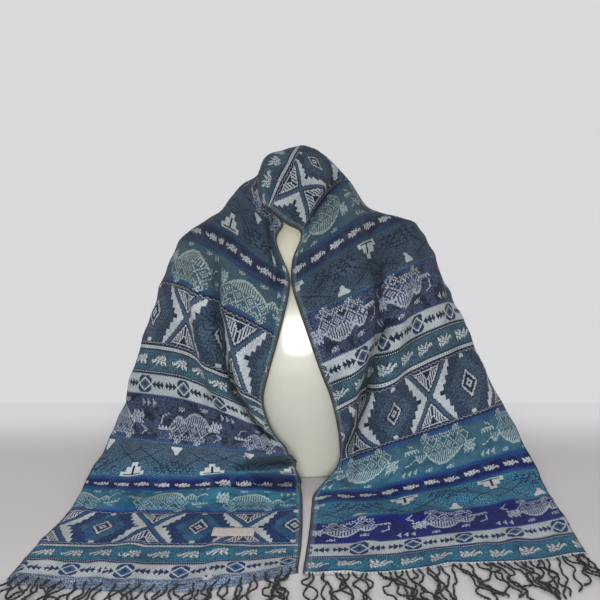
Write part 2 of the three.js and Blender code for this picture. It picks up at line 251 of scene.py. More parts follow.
def gatheredPlaces(alongs):
    # For each row, the place across the form of every even column of the cloth.
    places = np.repeat(acrossPlaces[None, :], len(alongs), axis=0)
    starts = [gather[0][0] for gather in gathers.values()]
    ends = [gather[1][0] for gather in gathers.values()]
    for (start, first), (end, last), take, width in gathers.values():
        share = np.clip((alongs - start) / (end - start), 0, 1)[:, None]
        middle = first + (last - first) * share
        outside = np.maximum(min(start, end) - alongs, alongs - max(start, end))[:, None]
        weight = eased(np.clip(1 - np.maximum(outside, 0) / gatherFade, 0, 1))
        if any(abs(other - end) < gatherJoin for other in starts):
            weight = np.where((alongs[:, None] - end) * (end - start) > 0, 0, weight)
        if any(abs(other - start) < gatherJoin for other in ends):
            weight = np.where((alongs[:, None] - start) * (end - start) < 0, 0, weight)
        step = eased(np.clip((acrossPlaces - middle) / width + 0.5, 0, 1))
        places -= weight * take * (step - (acrossPlaces / cloth["foldedWidth"]) ** 2)
    return places


# Painted shade in the creases: the colour darkens by up to this share where the cloth lies a full depth
# down in a trough.
hollow = {"fullDepth": 0.020, "darkening": 0.42}
ripples = {"seed": 7, "count": 14, "longest": 0.14, "shortest": 0.03, "height": 0.0010, "power": 0.6}


def creaseShadeShare(alongs):
    # How deep in a trough each place of the cloth lies, from 0 to 1: how much painted shade darkens its
    # colour there.
    depth = np.clip(-creaseRise(alongs) / hollow["fullDepth"], 0, 1)
    places = gatheredPlaces(alongs)
    return np.stack([np.interp(places[i], acrossPlaces, depth[i]) for i in range(len(alongs))])


def rippleRise(alongs):
    # Shallow unevenness of soft cloth, as a sum of waves in all directions.
    chance = random.Random(ripples["seed"])
    along, across = np.meshgrid(alongs, acrossPlaces, indexing="ij")
    rise = np.zeros_like(along)
    for i in range(ripples["count"]):
        shrink = (ripples["shortest"] / ripples["longest"]) ** (i / (ripples["count"] - 1))
        length = ripples["longest"] * shrink
        turn = chance.uniform(0, math.pi)
        phase = chance.uniform(0, 2 * math.pi)
        height = ripples["height"] * (length / ripples["longest"]) ** ripples["power"]
        place = along * math.cos(turn) + across * math.sin(turn)
        rise += height * np.sin(2 * math.pi * place / length + phase)
    return rise


def restOnBust(points):
    halfWidth, front, back, power = (
        np.interp(points[..., 2], bustRows[:, 0], column) for column in bustRows.T[1:])
    depth = np.where(points[..., 1] < 0, front, back)
    overDome = np.maximum(points[..., 2] - neckDome["base"], 0) / neckDome["rise"]
    reach = (np.abs(points[..., 0] / halfWidth) ** power + np.abs(points[..., 1] / depth) ** power
             + overDome ** power) ** (1 / power)
    least = 1 + cloth["bustClearance"] / depth
    grow = np.where(reach < least, least / np.maximum(reach, 1e-6), 1.0)
    moved = points.copy()
    moved[..., :2] *= grow[..., None]
    raised = neckDome["base"] + overDome * neckDome["rise"] * grow
    moved[..., 2] = np.where(overDome > 0, raised, points[..., 2])
    return moved


steadyRows = 400
steadyNormals = gridNormals(smoothCurve(sectionGrid, np.linspace(0, 1, steadyRows)))


def between(first, second, share):
    return first * (1 - share) + second * share


def drapeGrid(formAlongs, clothAlongs, lifts):
    # The middle level between the two layers, and its normals: a row for each place along.
    knots = np.interp(formAlongs, sectionAlongs, np.arange(len(sectionAlongs))) / (len(sectionAlongs) - 1)
    points = smoothCurve(sectionGrid, knots)
    points[..., 2] = np.maximum(points[..., 2], cloth["tableLevel"])
    rise = creaseRise(formAlongs) + rippleRise(clothAlongs)
    places = np.clip(knots * (steadyRows - 1), 0, steadyRows - 1.001)
    k = places.astype(int)
    normals = between(steadyNormals[k], steadyNormals[k + 1], (places - k)[:, None, None])
    points = restOnBust(points + normals * rise[..., None])
    points = points + normals * lifts[:, None, None]
    points[..., 2] = np.maximum(points[..., 2], cloth["tableLevel"])
    spots = gatheredPlaces(formAlongs) / cloth["foldedWidth"] * cloth["columns"]
    spots = np.clip(spots, 0, cloth["columns"] - 0.0001)
    column = spots.astype(int)
    share = (spots - column)[..., None]
    rows = np.arange(len(formAlongs))[:, None]
    return [between(grid[rows, column], grid[rows, column + 1], share) for grid in (points, normals)]


# ---- the woven bands, in the order they repeat, and the height of each along the cloth
bandStart = -0.968
bandHeights = {"white": 0.033, "teal": 0.044, "cross": 0.103, "seaBeast": 0.066,
               "navy": 0.034, "pyramid": 0.074, "nightBeast": 0.066}
repeatLength = sum(bandHeights.values())

# Every band on the cloth: the place of its low border, and its name.
bands = [(cloth["leftEnd"], "edge")]
border = bandStart
for name in 5 * list(bandHeights):
    if border < cloth["rightEnd"] - 0.001:
        bands.append((round(border, 4), name))
    border += bandHeights[name]


def rowPlaces():
    # Every place along the cloth that gets a row: even steps between the borders of the bands.
    marks = sorted({cloth["rightEnd"], *(start for start, name in bands), *pleatPath[:, 0]})
    rows = []
    for start, end in zip(marks, marks[1:]):
        steps = max(1, round((end - start) / cloth["rowStep"]))
        rows += [start + (end - start) * i / steps for i in range(steps)]
    return np.array(rows + [marks[-1]])


def clothGrid():
    # The whole cloth as rows along and columns across: the top layer, the fold, the under layer.
    alongs = rowPlaces()
    inCloth, inForm, lift = pleatPath.T
    inPleat = (alongs > inCloth[0]) & (alongs < inCloth[-1])
    form = np.where(inPleat, np.interp(alongs, inCloth, inForm), alongs)
    lifts = np.where(inPleat, np.interp(alongs, inCloth, lift), 0.0)
    points, normals = drapeGrid(form, alongs, lifts)
    span = cloth["underSpan"]
    nearEnd = np.clip((cloth["leftEnd"] + span - alongs) / span, 0, 1)
    underForm = form - cloth["underReach"] * nearEnd ** 2
    underPoints, underNormals = drapeGrid(underForm, alongs, lifts)
    underPoints[..., 1] -= np.maximum(cloth["leftEnd"] - underForm, 0)[:, None]
    underPoints[:, 0] += unit(underPoints[:, 0] - underPoints[:, 2]) * hem["underShow"]
    off = cloth["layerOffset"]
    last = cloth["columns"]
    foldWay = unit(points[:, last:] - points[:, last - 1:last])
    under = [last - 1, *range(last - 2, -1, -2)]
    grid = np.concatenate([
        points[:, :last] + normals[:, :last] * off,
        (points[:, last:] + underPoints[:, last:]) / 2 + foldWay * off,
        underPoints[:, under] - underNormals[:, under] * off], axis=1)
    places = np.concatenate([acrossPlaces, cloth["width"] - acrossPlaces[under]])
    # how deep in a trough each place lies, for the painted shade in the creases
    depths = creaseShadeShare(form)[:, [*range(last + 1), *under]]
    return alongs, places, grid + axis, depths


# The cloth isn't folded quite evenly: how far its figure lies off its place, by place along.
figureDrift = [(-0.85, 0.012), (-0.60, 0.003), (-0.40, -0.008), (-0.02, -0.018), (0.20, -0.002),
               (0.50, -0.003), (0.75, -0.006)]


def quadFaces(rows, count):
    first = (np.arange(rows - 1)[:, None] * count + np.arange(count - 1)[None, :]).ravel()
    return np.stack([first, first + 1, first + count + 1, first + count], axis=1).tolist()


def flatPlaces(alongs, acrosses):
    return np.stack(np.meshgrid(alongs, acrosses, indexing="ij")[::-1], axis=-1).reshape(-1, 2)


def meshThing(name, points, faces, finishes, slots=None, uvLayers=()):
    mesh = bpy.data.meshes.new(name)
    mesh.from_pydata(points.reshape(-1, 3).tolist(), [], faces)
    corners = [corner for face in faces for corner in face]
    for layerName, places in uvLayers:
        layer = mesh.uv_layers.new(name=layerName)
        layer.data.foreach_set("uv", places[corners].astype(np.float32).ravel())
    for finish in finishes:
        mesh.materials.append(finish)
    if slots is not None:
        mesh.polygons.foreach_set("material_index", np.array(slots, dtype=np.int32))
    mesh.polygons.foreach_set("use_smooth", np.ones(len(faces), dtype=bool))
    mesh.update()
    thing = bpy.data.objects.new(name, mesh)
    bpy.context.collection.objects.link(thing)
    return thing


def makeShawl(alongs, places, grid, depths):
    flat = flatPlaces(alongs, places)
    figure = flat.copy()
    figure[:, 0] -= np.interp(flat[:, 1], *zip(*figureDrift))
    names = ["edge", *bandHeights]
    middles = (alongs[1:] + alongs[:-1]) / 2
    woven = [[name for start, name in bands if start < middle][-1] for middle in middles]
    slots = np.repeat([names.index(name) for name in woven], len(places) - 1)
    finishes = [clothFinish(name) for name in names]
    shawl = meshThing("shawl_cloth", grid, quadFaces(*grid.shape[:2]), finishes, slots,
                      [("weave", flat), ("figure", figure)])
    depth = shawl.data.attributes.new("hollow", "FLOAT", "POINT")
    depth.data.foreach_set("value", depths.astype(np.float32).ravel())
    applyModifier(shawl, "SOLIDIFY", thickness=cloth["thickness"], offset=0.0)
    return shawl


# ---- shader arithmetic
def overload(operation, swapped=False):
    def method(self, *others):
        values = (self, *others)
        return self.maths(operation, *(values[::-1] if swapped else values))
    return method


class Flow:
    # One shader socket that takes part in sums as a number does.
    def __init__(self, tree, socket=None):
        self.tree, self.socket = tree, socket

    def make(self, kind, settings={}, inputs={}, output=0):
        node = self.tree.nodes.new("ShaderNode" + kind)
        for name, value in settings.items():
            if name == "stops":
                fillRamp(node.color_ramp, value)
            else:
                setattr(node, name, value)
        for key, value in inputs.items():
            if isinstance(value, Flow):
                self.tree.links.new(value.socket, node.inputs[key])
            else:
                node.inputs[key].default_value = value
        return Flow(self.tree, node.outputs[output])

    def maths(self, operation, *values):
        return self.make("Math", {"operation": operation}, dict(enumerate(values)))

    __add__, __radd__ = overload("ADD"), overload("ADD", True)
    __sub__, __rsub__ = overload("SUBTRACT"), overload("SUBTRACT", True)
    __mul__, __rmul__ = overload("MULTIPLY"), overload("MULTIPLY", True)
    __truediv__ = overload("DIVIDE")
    __gt__, __lt__ = overload("GREATER_THAN"), overload("LESS_THAN")
    __abs__, floor, fract = overload("ABSOLUTE"), overload("FLOOR"), overload("FRACT")
    sine, isNear = overload("SINE"), overload("COMPARE")

    def part(self, i):
        return self.make("SeparateXYZ", {}, {0: self}, i)

    def noise(self, scale, detail, roughness=0.5):
        inputs = {"Vector": self, "Scale": scale, "Detail": detail, "Roughness": roughness}
        return self.make("TexNoise", {}, inputs)

    def fade(self, low, high, toLow=0.0, toHigh=1.0):
        return self.make("MapRange", {"interpolation_type": "SMOOTHSTEP"},
                         {0: self, 1: low, 2: high, 3: toLow, 4: toHigh})

    def tint(self, start, end):
        # self is the share of end in the colour
        return self.make("Mix", {"data_type": "RGBA"}, {0: self, 6: start, 7: end}, 2)


def fillRamp(ramp, stops):
    ramp.interpolation = "CONSTANT"
    while len(ramp.elements) < len(stops):
        ramp.elements.new(1.0)
    for element, (place, colour) in zip(ramp.elements, stops):
        element.position = place
        element.color = colour


def dye(code):
    # A colour as a dyer's card gives it, "rrggbb", in the renderer's linear numbers.
    parts = [int(code[i:i + 2], 16) / 255 for i in (0, 2, 4)]
    return [c / 12.92 if c <= 0.04045 else ((c + 0.055) / 1.055) ** 2.4 for c in parts] + [1.0]


def newFinish(name):
    finish = bpy.data.materials.new(name)
    finish.use_nodes = True
    return finish, Flow(finish.node_tree)


def plugIn(finish, colour, looks, height=None, relief=()):
    # relief is the strength and the distance of a bump by height
    tree = finish.node_tree
    shader = tree.nodes["Principled BSDF"]
    tree.links.new(colour.socket, shader.inputs["Base Color"])
    if height:
        bump = colour.make("Bump", {}, dict(zip(("Strength", "Distance", "Height"), (*relief, height))))
        tree.links.new(bump.socket, shader.inputs["Normal"])
    for name, value in looks.items():
        shader.inputs[name].default_value = value
    return finish


# ---- weaving charts, one ink's letter a cell, rows from the band's low end up. A dot is ground.
chartColumns = 72


def drawnCell(drawing, x, line):
    # The letter of a small drawing, whose lines run from its top down.
    if 0 <= line < len(drawing) and 0 <= x < len(drawing[line]):
        return drawing[line][x]
    return "."


def squareAndArrow(x, y):
    # The white band: dark blocks round an outlined diamond, and arrowheads on a stem.
    aside, up = abs(x + 0.5 - 24), abs(y + 0.5 - 12)
    ring = aside + up
    if aside < 8.2 and up < 9.6 and ring < 14.6:
        if ring < 2.2:
            return "n"
        if 6.2 < ring < 8.6:
            return "w"
        return "s" if ring < 6.2 or (x + y) % 4 == 0 else "n"
    tip = (aside - 9) % 4.6
    if 9 < aside < 22.8 and (up < 0.8 + 1.05 * tip and tip < 4.1 or up < 0.8):
        return "n"
    return "n" if y in (0, 23) and (x + y) % 2 else "."


smallBeast = [
    "..............w..w..",
    ".........w..w.ww.w..",
    ".......w.ww.wwww.ww.",
    "......wwwwwwwnnwwww.",
    ".....wwnnnwwwwwnnww.",
    "w.w.wwwwwwnnnwwwwn..",
    "w.wwwwnnwwwwwwnnww..",
    "wwwww..wwwnnwwwwwww.",
    ".ww...www..www..www.",
    "......ww....ww...ww.",
    ".....ww......ww...w.",
]


def beastRow(x, y):
    # The teal band: spiky beasts, a dotted line below them and a ladder line above.
    if y in (29, 27):
        return "w"
    if y == 28:
        return "n" if x % 3 == 0 else "w"
    if y == 25:
        return "n" if x % 2 else "."
    if y == 2:
        return "w" if x % 2 else "n"
    if y in (0, 1, 3, 26):
        return "n"
    letter = drawnCell(smallBeast, x - 3, 20 - y)
    if letter == "." and drawnCell(smallBeast, x - 4, 19 - y) == "w" and (x + y) % 3:
        return "d"
    return letter


tinyBeast = [
    "........w..w.....",
    ".......ww.ww..w..",
    "w.w..wwwwwwww.ww.",
    "w.w.wwwnwwwnwwww.",
    "wwwwwwnwwwnwwww..",
    ".ww..wwwwwwwwwww.",
    ".....ww.www..www.",
    "....ww..w.ww...w.",
]


def tinyBeastRow(x, y):
    # The navy band: small low beasts, with a mixed line along both borders.
    if y in (0, 23):
        return "t" if x % 2 else "d"
    if y in (1, 22):
        return "s" if x % 2 else "."
    return drawnCell(tinyBeast, x - 2, 15 - y)


cellSizes = {"across": 1.944, "crossUp": 1.61, "pyramidUp": 2.3125}  # millimetres


def crossAndDiamond(x, y):
    # The widest band, a quarter of its repeat: x from the middle of a cross, y up from its middle.
    aside, up = (x + 0.5) * cellSizes["across"], (y + 0.5) * cellSizes["crossUp"]
    if up > 49.8:
        return "n"
    if up > 44.5:
        zig = abs((aside / 3.9) % 2 - 1) * 3.2 + 45.4
        return "z" if abs(up - zig) < 1.1 else "n"
    arm = aside - 0.74 * up
    if abs(arm) < 4.6:
        return "s" if abs(arm) < 3.2 else "n"
    if arm < 0:
        inset = -arm
        if inset < 6.2 or up > 43:
            return "n"
        if inset < 8.6 or 39.5 < up < 42:
            return "w"
        heart = aside - 0.62 * (up - 28)
        if up > 28 and heart < 1.8:
            return "w" if heart > 0 else "n"
        return "w" if x % 2 and up < 38 else "n"
    stair = 26 + 5.2 * math.floor(up / 11.5)
    if aside < stair:
        return "n" if up < 3 and aside > 18 else "w"
    if aside < max(stair + 7, 38 + 4.6 * math.floor(up / 6.4)) and aside < 69:
        return "r"
    across = 70 - aside
    ring = across / 15.5 + up / 20.5
    for outer, letter in ((0.16, "n"), (0.38, "w"), (0.76, "n"), (0.98, "w"), (1.12, "n")):
        if ring < outer:
            return letter
    if up > 38 and across < (45 - up) * 0.9 + 1:
        return "w"
    return "."


def pyramidField(x, y):
    # Half a repeat: x from the middle of a stepped pyramid, y up from the low border.
    aside, up = (x + 0.5) * cellSizes["across"], (y + 0.5) * cellSizes["pyramidUp"]
    if 5 < up < 33:
        tier = 21.5 if up < 14 else 14 if up < 24 else 6.5
        if aside < tier:
            if aside < 1.95 and 9 < up < 25 or 7 < up < 10 and aside < 15:
                return "d"
            return "w"
    far = 70 - aside
    if 49 < up < 66 and far < (up - 49) * 0.62:
        return "w"
    rising, falling = abs(up - (16 + 0.62 * far)), abs(up - (74 - 0.6 * far))
    if rising < 1.2 and far > 9 or falling < 1.2 and far > 22:
        return "n"
    if far < 36 and 9 < up < 42 - far * 0.5:
        hook = (x + 2 * (y // 3)) % 6
        if y % 3 == 0 and hook < 4 or hook == 0:
            return "n"
    return "t" if y in (0, 31) else "."


def strokeCells(strokes):
    cells = set()
    for stroke in strokes:
        for (x0, y0), (x1, y1) in zip(stroke, stroke[1:]):
            steps = max(abs(x1 - x0), abs(y1 - y0), 1)
            for i in range(steps + 1):
                cells.add((round(x0 + (x1 - x0) * i / steps), round(y0 + (y1 - y0) * i / steps)))
    return cells


def drawingCells(left, low, drawing):
    # A small drawing with its lower left cell at (left, low).
    return {(left + x, low + y) for y, line in enumerate(reversed(drawing))
            for x, cell in enumerate(line) if cell == "w"}


def humpCells(middle, low, half, height):
    # A striped hump with a stepped outline.
    cells = set()
    for x in range(middle - half, middle + half + 1):
        top = low + height - math.floor((abs(x - middle) / half) ** 1.6 * height)
        cells |= {(x, top), (x, top - 1)}
        if (x - middle) % 2 == 0:
            cells |= {(x, y) for y in range(low, top)}
    return cells


def diamondCells(middle, level, size):
    return {(middle + dx, level + dy) for dx in range(-size, size + 1) for dy in range(-size, size + 1)
            if abs(dx) + abs(dy) in (size, size - 3, 0)}


def latticeCells(left, right, low, high, phase):
    # Blocky lace under a body.
    return {(x, y) for x in range(left, right) for y in range(low, high)
            if (x + y + phase) % 4 == 0 or (x - y + phase) % 4 == 0}


def arrowCells(left, low, count):
    return {(left + 5 * i + dx, low + dy) for i in range(count) for dx in range(3)
            for dy in range(-2, 3) if abs(dy) <= 2 - dx}


beastHead = [
    "..w...w..w.",
    ".ww..ww.ww.",
    ".wwwwwwwww.",
    "ww.ww.ww.ww",
    "wwwwwwwwww.",
    ".w.w.ww.www",
    "...wwwwwwww",
    ".www.ww.ww.",
    "ww.www.www.",
]
crestMark = ["w.ww.w", ".ww.ww", "w.ww.."]
toothedTail = ["w..w..w..w..w", "ww.ww.ww.ww.w", ".wwwwwwwwwwww"]

longBeast = set().union(
    humpCells(32, 15, 17, 9), humpCells(54, 14, 5, 5),
    *(diamondCells(middle, 11, 5) for middle in (17, 27, 37, 47)),
    latticeCells(13, 52, 3, 7, 0),
    drawingCells(3, 13, beastHead), drawingCells(56, 9, toothedTail),
    *(drawingCells(left, low, crestMark) for left, low in ((22, 27), (42, 26), (15, 0), (44, 0))),
    strokeCells([[(58, 15), (64, 19), (67, 19)], [(12, 12), (9, 8), (12, 5)], [(60, 7), (64, 5)]]),
    arrowCells(56, 26, 3))

nightBeast = set().union(
    humpCells(33, 14, 14, 9), humpCells(17, 14, 6, 5),
    *(diamondCells(middle, 11, size) for middle, size in ((14, 4), (23, 5), (33, 5), (43, 5))),
    latticeCells(12, 48, 3, 7, 2),
    drawingCells(47, 12, [line[::-1] for line in beastHead]), drawingCells(1, 9, toothedTail),
    *(drawingCells(left, low, crestMark) for left, low in ((16, 23), (38, 26), (18, 0), (38, 0))),
    strokeCells([[(2, 13), (2, 18), (7, 20)], [(56, 10), (61, 7), (57, 4)]]),
    arrowCells(56, 26, 3))


def figureOf(cells, letter):
    return lambda x, y: letter if (x, y) in cells else "."


# Each band's pattern, its columns and rows, the width of a repeat and where one starts.
charts = {
    "white": (squareAndArrow, 48, 24, 0.07, 0.035),
    "teal": (beastRow, 26, 30, 0.0389, 0.0),
    "cross": (crossAndDiamond, 36, 32, 0.14, 0.138),
    "seaBeast": (figureOf(longBeast, "p"), 72, 32, 0.14, 0.134),
    "navy": (tinyBeastRow, 22, 24, 0.0342, 0.0),
    "pyramid": (pyramidField, 36, 32, 0.14, 0.0),
    "nightBeast": (figureOf(nightBeast, "q"), 72, 32, 0.14, 0.113),
}


def letterMask(rows, letter, column, row):
    # 1 where the chart has the letter. Each row's cells are the binary digits of four numbers.
    group = chartColumns // 4
    stops = []
    for y, line in enumerate(rows):
        digits = [cell == letter for cell in line]
        numbers = [sum(bit / 2 ** (i + 1) for i, bit in enumerate(digits[k * group:(k + 1) * group]))
                   + 0.5 ** (group + 2) for k in range(4)]
        stops.append((y / len(rows), numbers))
    ramp = row.make("ValToRGB", {"stops": stops}, {0: (row.floor() + 0.5) / len(rows)})
    alpha = Flow(row.tree, ramp.socket.node.outputs["Alpha"])
    parts = [row.make("SeparateColor", {}, {0: ramp}, i) for i in range(3)] + [alpha]
    cell = column.floor()
    block = (cell / group).floor()
    number = sum(part * block.isNear(k, 0.1) for k, part in enumerate(parts))
    shift = row.maths("POWER", 2.0, cell - block * group)
    return (number * shift).fract() > 0.5


# ---- the cloth's finish
# Each dye is given twice: greyer for the hanging upper cloth and more saturated for the ends lying on the
# table. The difference is painted light, for how light and sheen fall on hanging and on lying cloth.
dyes = {  # as on the upper cloth, and as on the ends
    "white": ("b1b8bc", "b8bbba"), "pale": ("839392", "88a2a4"), "haze": ("455a64", "39748a"),
    "teal": ("34505f", "1b516a"), "steel": ("46576b", "2a527a"), "slate": ("2c3848", "193954"),
    "navy": ("141b30", "0a1148"), "violet": ("2d2f4a", "0e1452"), "blue": ("223b66", "123a86"),
    # The brown dye on the next line, beside the hem, is painted shadow along the under layer's edge, not
    # a dye of the cloth.
    "dark": ("0e141d", "0a1434"), "hem": ("3f4655", "424c66"), "edgeShadow": ("4c4136", "4c4136"),
    "mist": ("3d4f5a", "4b8a9e"), "dusk": ("4a5a6e", "192a7a"), "shade": ("10161f", "0e1452"),
    "rim": ("26303f", "0a1249"), "mauve": ("797380", "76829a"), "ash": ("858b98", "9aa3ae"),
}
litEndsFade = {"left": (0.62, 0.74), "right": (0.42, 0.60)}  # where along the upper dyes give way
# Stretches along the cloth made lighter or darker: the fade in, the fade out and the lift. The first is
# lighter; the second, darker over the neck, the shoulders and the tops of the falls, is painted shade.
stretchesOfLiftAndShade = [
    ((-0.73, -0.67), (-0.62, -0.56), 0.30),
    ((-0.37, -0.29), (0.19, 0.25), -0.22),
]
# The ground of each band: its dye, flecks of another with their share, and patches of a third.
grounds = {
    "edge": ("steel", "white", 0.45, "navy", 0.5),
    "white": ("white", "slate", 0.35, "pale", 0.3),
    "teal": ("teal", "haze", 0.7, "slate", 0.5),
    "cross": ("slate", "steel", 0.9, "haze", 0.35),
    "seaBeast": ("haze", "slate", 0.4, "teal", 0.9),
    "navy": ("violet", "dark", 0.4, "steel", 0.3),
    "pyramid": ("slate", "mist", 0.8, "steel", 0.4),
    "nightBeast": ("violet", "dusk", 0.6, "shade", 0.7),
}
inks = {"w": ("white", "slate", 0.2), "p": ("pale", "white", 0.25), "n": ("navy", "steel", 0.22),
        "t": ("teal", "steel", 0.4), "s": ("steel", "slate", 0.5), "d": ("dark", "navy", 0.4),
        "r": ("rim", "steel", 0.5), "z": ("mauve", "pale", 0.5), "q": ("ash", "white", 0.35)}
# Lines of blue that run out into a band from its low and its high border, and how far.
blueLines = {"seaBeast": (0.012, 0.006), "navy": (0.008, 0.009), "nightBeast": (0.005, 0.004),
             "pyramid": (0.004, 0.002)}
blueShare = 0.85
hem = {"width": 0.0028, "share": 0.8, "stitchEnd": 0.0072, "stitchPitch": 0.0028, "stitchGap": 0.55,
       "stitchShare": 0.5, "underShow": 0.002}
weave = {
    "thread": 0.0006,
    "fray": 0.0009,
    "ribs": 0.0011,
    "relief": (0.4, 0.0007),
    "drawn": (1.0, 0.7, 1.0),  # the grain is longer along the cloth
    "grain": (520.0, 2.0, 0.6),  # scale, detail and roughness of the noise
    "patch": (42.0, 3.0, 0.6),
    "broad": (17.0, 2.0, 0.6),
    "fleckFade": (0.38, 0.62),
    "patchFade": (0.47, 0.60),
    "grainDepth": (0.3, 0.7, 0.60, 1.44),  # where the noise fades, and the depths of dye it gives
    "broadDepth": (0.3, 0.7, 0.84, 1.14),
    "looks": {"Roughness": 0.74, "Sheen Weight": 0.05, "Sheen Roughness": 0.5,
              "Specular IOR Level": 0.15},
}


def bandMasks(name, along, across):
    # Where each letter of the band's chart shows, and the height up the band.
    pattern, columns, rowCount, width, phase = charts[name]
    rows = [[pattern(x, y) for x in range(columns)] for y in range(rowCount)]
    height = bandHeights[name]
    middle = next(start for start, band in bands if band == name) + height / 2
    turns = (along - middle) / repeatLength + 0.5
    up = (turns.fract() - 0.5) * repeatLength + height / 2
    share = ((phase - across) / width).fract()
    column = share * columns
    row = up / height * rowCount
    if name == "cross":
        column = abs(share - 0.5) * 2 * columns
        row = abs(up / height - 0.5) * 2 * rowCount
    elif name == "pyramid":
        column = (0.5 - abs(share - 0.5)) * 2 * columns
    row = row.maths("MINIMUM", row.maths("MAXIMUM", row, 0.0), rowCount - 0.5)
    letters = sorted({cell for line in rows for cell in line} - {"."})
    return {letter: letterMask(rows, letter, column, row) for letter in letters}, up


def clothFinish(name):
    finish, flow = newFinish("weave_" + name)
    place = flow.make("UVMap", {"uv_map": "weave"})
    across, along = place.part(0), place.part(1)
    figureAcross = flow.make("UVMap", {"uv_map": "figure"}).part(0)
    # how deep in a crease's trough each place lies, for the painted shade there
    depth = flow.make("Attribute", {"attribute_name": "hollow"}, {}, "Fac")
    # the share of the ends' dyes, which are painted light for the ends lying on the table
    litEndsShare = flow.maths("MAXIMUM", along.fade(*litEndsFade["right"]), (0 - along).fade(*litEndsFade["left"]))
    drawn = flow.make("VectorMath", {"operation": "MULTIPLY"}, {0: place, 1: weave["drawn"]})
    grain = drawn.noise(*weave["grain"])
    fleck = grain.fade(*weave["fleckFade"])
    patch = place.noise(*weave["patch"]).fade(*weave["patchFade"])
    broad = place.noise(*weave["broad"])

    def threadNoise(way):
        thread = {"W": (way / weave["thread"]).floor()}
        chance = flow.make("TexWhiteNoise", {"noise_dimensions": "1D"}, thread)
        return (chance - 0.5) * weave["fray"]

    def shade(dyeName):
        upper, ends = dyes[dyeName]
        return litEndsShare.tint(dye(upper), dye(ends))

    def flecked(first, second, share):
        return (fleck * share).tint(shade(first), shade(second))

    base, second, share, third, patchShare = grounds[name]
    colour = (patch * patchShare).tint(flecked(base, second, share), shade(third))
    if name != "edge":
        masks, up = bandMasks(name, along + threadNoise(across), figureAcross + threadNoise(along))
        if name in blueLines:
            low, high = blueLines[name]
            down = bandHeights[name] - up
            line = flow.maths("MAXIMUM", 1 - up.fade(0.0, low), 1 - down.fade(0.0, high))
            colour = (line * blueShare).tint(colour, shade("blue"))
        for letter, mask in masks.items():
            colour = mask.tint(colour, flecked(*inks[letter]))
    # the rolled hem along the selvedge, whip-stitched, and painted shadow: a brown strip along the
    # selvedge of the layer beneath, where it shows past the top layer's edge
    stitch = (along / hem["stitchPitch"]).fract() > hem["stitchGap"]
    stitches = stitch * (across < hem["stitchEnd"]) * hem["stitchShare"]
    colour = stitches.tint(colour, shade("pale"))
    colour = ((across < hem["width"]) * hem["share"]).tint(colour, shade("hem"))
    # painted shadow along the under layer's selvedge
    colour = (across > cloth["width"] - hem["width"]).tint(colour, shade("edgeShadow"))
    # lighter and darker stretches along the cloth; the darker one is painted shade
    liftAndPaintedShade = 1.0
    for start, end, lift in stretchesOfLiftAndShade:
        liftAndPaintedShade = along.fade(*start) * (1 - along.fade(*end)) * lift + liftAndPaintedShade
    # the dye's depth: grain and patches of tone, stretches along the cloth, and painted shade in the
    # crease troughs
    dyeDepthAndPaintedShade = (grain.fade(*weave["grainDepth"]) * broad.fade(*weave["broadDepth"]) * liftAndPaintedShade
                  * (1 - depth * hollow["darkening"]))
    colour = flow.make("VectorMath", {"operation": "SCALE"}, {0: colour, "Scale": dyeDepthAndPaintedShade})
    turns = 2 * math.pi / weave["ribs"]
    height = (across * turns).sine() * (along * turns).sine() * 0.5 + grain
    return plugIn(finish, colour, weave["looks"], height, weave["relief"])


draped = clothGrid()
shawl = makeShawl(*draped)
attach(shawl, "root")
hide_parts("shawl_neck", "shawl_shoulder_left", "shawl_shoulder_right", "shawl_fall_left",
            "shawl_fall_right", "shawl_end_left", "shawl_end_right", "shawl_under_left")
print("shawl draped,", len(shawl.data.polygons), "faces")


# ---- the display bust
bust = {
    "weld": 0.00005, "baseLevel": 0.0005, "baseCrease": 0.9,
    "flatness": 60,  # degrees between two triangles of one quad
    "smoothness": 50,
    "dyes": ("ced0c5", "cccbb2"), "clouds": (6.0, 3.0), "cloudShare": 0.3,
    "warmFrom": (0.1, 0.5),  # the heights between which it grows warmer
    "warmShare": 0.8,
    "relief": (0.06, 0.001),
    "looks": {"Roughness": 0.2, "Coat Weight": 0.4, "Coat Roughness": 0.12, "Subsurface Weight": 0.05},
}


def makeBust():
    # A copy of the modelled form, welded and rounded.
    source = bpy.data.objects["display_bust"]
    form = source.copy()
    form.data = source.data.copy()
    form.name = form.data.name = "bust_form"
    bpy.context.collection.objects.link(form)
    form.data.materials.clear()
    form.hide_render = form.hide_viewport = False
    form.hide_set(False)
    pick(form)
    bpy.ops.object.mode_set(mode="EDIT")
    bpy.ops.mesh.select_all(action="SELECT")
    bpy.ops.mesh.remove_doubles(threshold=bust["weld"])
    flatness = math.radians(bust["flatness"])
    bpy.ops.mesh.tris_convert_to_quads(face_threshold=flatness, shape_threshold=flatness)
    bpy.ops.object.mode_set(mode="OBJECT")
    crease = form.data.attributes.new("crease_edge", "FLOAT", "EDGE")
    for edge in form.data.edges:
        ends = [form.data.vertices[i].co for i in edge.vertices]
        if all(end.z < bust["baseLevel"] and end.xy.length > 0.01 for end in ends):
            crease.data[edge.index].value = bust["baseCrease"]
    applyModifier(form, "SUBSURF", levels=2, render_levels=2)
    bpy.ops.object.shade_smooth_by_angle(angle=math.radians(bust["smoothness"]))
    return form


def bustFinish():
    finish, flow = newFinish("ivory_shell")
    place = flow.make("TexCoord", output="Object")
    clouds = place.noise(*bust["clouds"])
    warmth = place.part(2).fade(*bust["warmFrom"]) * bust["warmShare"] + clouds * bust["cloudShare"]
    ivory = warmth.tint(*(dye(code) for code in bust["dyes"]))
    return plugIn(finish, ivory, bust["looks"], clouds, bust["relief"])


form = makeBust()
form.data.materials.append(bustFinish())
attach(form, "root")
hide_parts("display_bust")
print("bust rounded")


